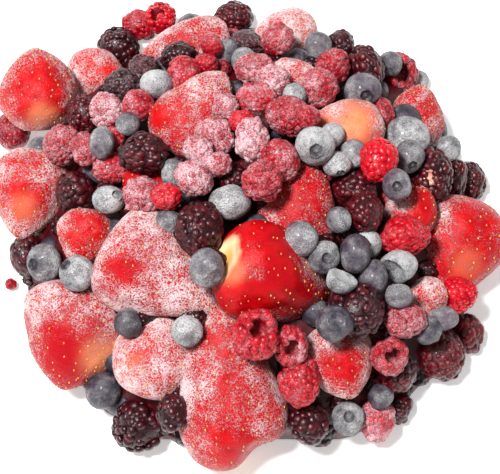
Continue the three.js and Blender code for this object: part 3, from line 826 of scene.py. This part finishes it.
def makeBlueberries(berries):
    shape = blueberryShape
    made = []
    points, corners, values = blueberryForm
    for k, berry in enumerate(berries):
        opening = towardsMark(berry["mark"]) if berry["mark"] else awayFromView()
        placed = carry(points, berry, opening, shape["swell"])
        if k in flatSides:
            placed = flatten(placed, berry, flatSides[k])
        side = np.array(Vector((random.uniform(-1, 1), random.uniform(-1, 1), random.uniform(-1, 1))).normalized())
        spread = shape["frostSide"] * (points @ side) * (shape["leastSide"] + berry["frost"])
        frost = np.clip(berry["frost"] + spread - shape["bareHull"] * values["hull"], 0, 1)
        made.append((placed, corners, {"frost": frost, "tint": berry["tint"], "hull": values["hull"]}))
    return joinForms(made)


blueberryBerries = heap["blueberries"] + fillerBerries["blueberries"]
makePiece("blueberries", makeBlueberries(blueberryBerries), blueberryMaterial)


# Strawberries: one ball of rings, drawn out along each berry's own outline, with pits and seeds
strawberryShape = {
    "segments": 80, "rings": 56, "bluntness": 0.6, "thickness": 0.86, "dimple": 0.05, "dimpleWidth": 0.16,
    "lumps": 0.05, "lumpPace": 1.3, "lumpShare": 2.2, "lumpStep": 7.3, "finePace": 3.1, "fineShare": 0.8,
    "fineStep": 5.7, "pitDepth": 0.35, "pitRadius": 1.3, "paintedPitShade": 0.5, "sideFrost": 0.35, "sideFrom": 0.6,
}
# The ragged pale end where the leaves were, in shares of the length
hullShape = {"edge": 1.6, "ragged": 0.012, "raggedPace": 8, "reach": 0.017, "pith": 0.004, "bare": 0.6}
# Seeds: how many lie on a berry of some area (mm2) in the view, and where from end to end
seedShape = {
    "segments": 6, "rings": 4, "count": 160, "area": 1600, "least": 30, "first": 0.9, "span": 1.87,
    "turnJitter": 0.25, "heightJitter": 0.025, "size": (0.3, 0.52, 0.24), "turn": 0.4, "sink": 0.22,
}


def makeBall(shape):
    addBall(shape["segments"], shape["rings"])
    return takeForm()


def strawberryBasis(berry):
    facing = -forward + berry["axis"] * forward.dot(berry["axis"])
    facing.normalize()
    side = berry["axis"].cross(facing)
    return np.array(Matrix((side, berry["axis"], facing)).transposed())


def drawStrawberry(directions, berry, seed):
    # takes points of the unit ball, +Z at the hull end, to the berry's surface in the heap
    shape = strawberryShape
    along = (1 - directions[:, 2]) / 2
    turn = np.arctan2(directions[:, 1], directions[:, 0])
    swell = np.sin(np.pi * np.clip(along, 0, 1) ** berry["shoulder"])
    radius = 0.5 * np.clip(swell, 0, 1) ** shape["bluntness"]
    lumpShift, fineShift = Vector((seed * shape["lumpStep"], 0, 0)), Vector((0, seed * shape["fineStep"], 0))
    lump = np.array([noise.noise(Vector(d) * shape["lumpPace"] + lumpShift) for d in directions])
    fine = np.array([noise.noise(Vector(d) * shape["finePace"] + fineShift) for d in directions])
    radius = radius * (1 + shape["lumps"] * (shape["lumpShare"] * lump + shape["fineShare"] * fine))
    dimple = shape["dimple"] * np.exp(-(radius / shape["dimpleWidth"]) ** 2) * (along < 0.5)
    local = np.stack([
        radius * np.cos(turn) * berry["width"],
        (along - 0.5 + dimple) * berry["length"],
        radius * np.sin(turn) * berry["width"] * shape["thickness"],
    ], axis=1)
    points = local @ strawberryBasis(berry).T
    for dentAcross, dentUp, reach, depth in dents.get(seed, ()):
        across, up = points @ np.array(right), points @ np.array(upward)
        near = np.exp(-((across - dentAcross) ** 2 + (up - dentUp) ** 2) / reach ** 2)
        inward = -np.array(right * dentAcross + upward * dentUp) / math.hypot(dentAcross, dentUp)
        points = points + np.outer(depth * near, inward)
    return points + np.array(centreOf(berry))


def jitters(count, most):
    return np.array([random.uniform(-most, most) for _ in range(count)])


def seedDirections(count):
    # a spiral from near the hull end to the tip
    angles = np.arange(count) * goldenTurn + jitters(count, seedShape["turnJitter"])
    heights = seedShape["first"] - seedShape["span"] * (np.arange(count) + 0.5) / count
    heights = heights + jitters(count, seedShape["heightJitter"])
    level = np.sqrt(1 - heights ** 2)
    return np.stack([level * np.cos(angles), level * np.sin(angles), heights], axis=1)


def frostAt(points, berry):
    # the berry's frost, heavier on its sides, with its bare and white spots, in the plane of the view
    away = points - np.array(centreOf(berry))
    across, up = away @ np.array(right), away @ np.array(upward)
    halfThick = strawberryShape["thickness"] / 2 * berry["width"]
    facing = np.clip(away @ -np.array(forward) / halfThick, 0, 1)
    frost = berry["frost"] + strawberryShape["sideFrost"] * (strawberryShape["sideFrom"] - facing)
    for spotAcross, spotUp, radius, change in berry["spots"]:
        near = np.exp(-((across - spotAcross) ** 2 + (up - spotUp) ** 2) / radius ** 2)
        frost += change * near
    return np.clip(frost, 0, 1)


def paleAt(points, berry, k):
    # how pale and fleshy the berry is round its pale spots, in the plane of the view
    away = points - np.array(centreOf(berry))
    across, up = away @ np.array(right), away @ np.array(upward)
    pale = np.zeros(len(points))
    for spotAcross, spotUp, radius, share in paleSpots.get(k, ()):
        near = np.exp(-(((across - spotAcross) ** 2 + (up - spotUp) ** 2) / radius ** 2) ** 2)
        pale = np.maximum(pale, share * near)
    return pale


def onAxis(points, berry):
    # the nearest point of the berry's axis to each point
    centre, axis = np.array(centreOf(berry)), np.array(berry["axis"])
    return centre + np.outer((points - centre) @ axis, axis)


def makeStrawberries(berries):
    ballPoints, ballFaces = makeBall(strawberryShape)
    seedPoints, seedFaces = makeBall(seedShape)
    along = (1 - ballPoints[:, 2]) / 2
    bodies, seeds = [], []
    for k, berry in enumerate(berries):
        surface = drawStrawberry(ballPoints, berry, k)
        seedCount = int(seedShape["count"] * berry["length"] * berry["width"] / seedShape["area"]) + seedShape["least"]
        spots = drawStrawberry(seedDirections(seedCount), berry, k)
        tree = kdtree.KDTree(len(spots))
        for i, spot in enumerate(spots):
            tree.insert(Vector(spot), i)
        tree.balance()
        reach = np.array([tree.find(Vector(point))[2] for point in surface])
        inward = onAxis(surface, berry) - surface
        inward /= np.maximum(np.linalg.norm(inward, axis=1), 1e-6)[:, None]
        pit = strawberryShape["pitDepth"] * np.exp(-(reach / strawberryShape["pitRadius"]) ** 2)
        surface = surface + inward * pit[:, None]
        shift = Vector((0, 0, k))
        ragged = np.array([noise.noise(Vector(point) * hullShape["raggedPace"] + shift) for point in ballPoints])
        hull = np.clip(hullShape["edge"] - (along + hullShape["ragged"] * ragged) / hullShape["reach"], 0, 1)
        bodies.append((surface, ballFaces, {
            "frost": frostAt(surface, berry) * (1 - hullShape["bare"] * hull),
            # painted shade: the tint is darker down in the pits round the seeds
            "tint": berry["tint"] - strawberryShape["paintedPitShade"] * pit / strawberryShape["pitDepth"],
            "hull": hull, "pith": np.clip(1 - along / hullShape["pith"], 0, 1), "cut": paleAt(surface, berry, k),
        }))
        for spot, outward in zip(spots, spots - onAxis(spots, berry)):
            out = Vector(outward).normalized()
            turn = turnTo(out, random.uniform(-seedShape["turn"], seedShape["turn"]))
            husk = seedPoints * seedShape["size"] @ turn.T + spot - np.array(out) * seedShape["sink"]
            seeds.append((husk, seedFaces, {"shade": random.random()}))
    return joinForms(bodies), joinForms(seeds)


strawberryForm, seedForm = makeStrawberries(heap["strawberries"])
makePiece("strawberries", strawberryForm, strawberryMaterial)


def makeSeedMaterial():
    material = bpy.data.materials.new("seedHusk")
    material.use_nodes = True
    shade = Shade(material.node_tree)
    shader = material.node_tree.nodes["Principled BSDF"]
    colour = shade.mix(shade.attribute("shade"), linear(244, 176, 70), linear(214, 84, 34))
    shade.tree.links.new(colour, shader.inputs["Base Color"])
    shader.inputs["Roughness"].default_value = 0.45
    return material


makePiece("strawberry_seeds", seedForm, makeSeedMaterial())


# Core: a dark mound whose colour is painted shade in the deep gaps, lower than the solid core so that the gaps are
# deep, and drawn in at the front
coreShape = {"segments": 96, "rings": 48, "lower": (-3, -3, 9), "lumps": 0.04, "lumpPace": 9, "front": -80}


def makePaintedShadeCore():
    addBall(coreShape["segments"], coreShape["rings"])
    cutBelow(0)
    points, corners = takeForm()
    bump = np.array([noise.noise(Vector(point) * coreShape["lumpPace"]) for point in points])
    inner = 1 - coreShape["lumps"] * np.abs(bump)
    axes = np.array(coreAxes) - coreShape["lower"]
    pressed = np.maximum(points * inner[:, None] * axes, (-np.inf, coreShape["front"], -np.inf))
    # dark and without frost: painted shade where the core shows between the berries
    return pressed, corners, {"frost": 0.0, "tint": 0.4, "hull": 0.0}


makePiece("painted_shade_core", makePaintedShadeCore(), brambleMaterial)

# Floor and light
floorSettings = {"size": 6.0, "colour": linear(250, 250, 250), "rough": 0.9, "glow": 0.4}
deselectAll()
bpy.ops.mesh.primitive_plane_add(size=floorSettings["size"], location=(0, 0, 0))
floor = bpy.context.object
floor.name = "floor"
floorMaterial = bpy.data.materials.new("floorPaper")
floorMaterial.use_nodes = True
floorInputs = floorMaterial.node_tree.nodes["Principled BSDF"].inputs
floorInputs["Base Color"].default_value = floorSettings["colour"]
floorInputs["Roughness"].default_value = floorSettings["rough"]
# painted light: the floor glows with its own colour so that the shadows on it come out lighter
floorInputs["Emission Color"].default_value = floorSettings["colour"]
floorInputs["Emission Strength"].default_value = floorSettings["glow"]
floor.data.materials.append(floorMaterial)

lightSettings = {"sky": 0.34, "key": 27.0, "keySize": 0.2, "keyPlace": (-0.36, -0.06, 1.2)}
world = bpy.data.worlds.new("studio")
world.use_nodes = True
skyInputs = world.node_tree.nodes["Background"].inputs
skyInputs["Color"].default_value = (1, 1, 1, 1)
skyInputs["Strength"].default_value = lightSettings["sky"]
bpy.context.scene.world = world
keyData = bpy.data.lights.new("keyLight", "AREA")
keyData.energy = lightSettings["key"]
keyData.size = lightSettings["keySize"]
keyLight = bpy.data.objects.new("keyLight", keyData)
bpy.context.scene.collection.objects.link(keyLight)
keyLight.location = lightSettings["keyPlace"]
keyLight.rotation_euler = (-Vector(lightSettings["keyPlace"])).to_track_quat("-Z", "Y").to_euler()
bpy.context.scene.view_settings.view_transform = "Standard"
print("floor and light set")
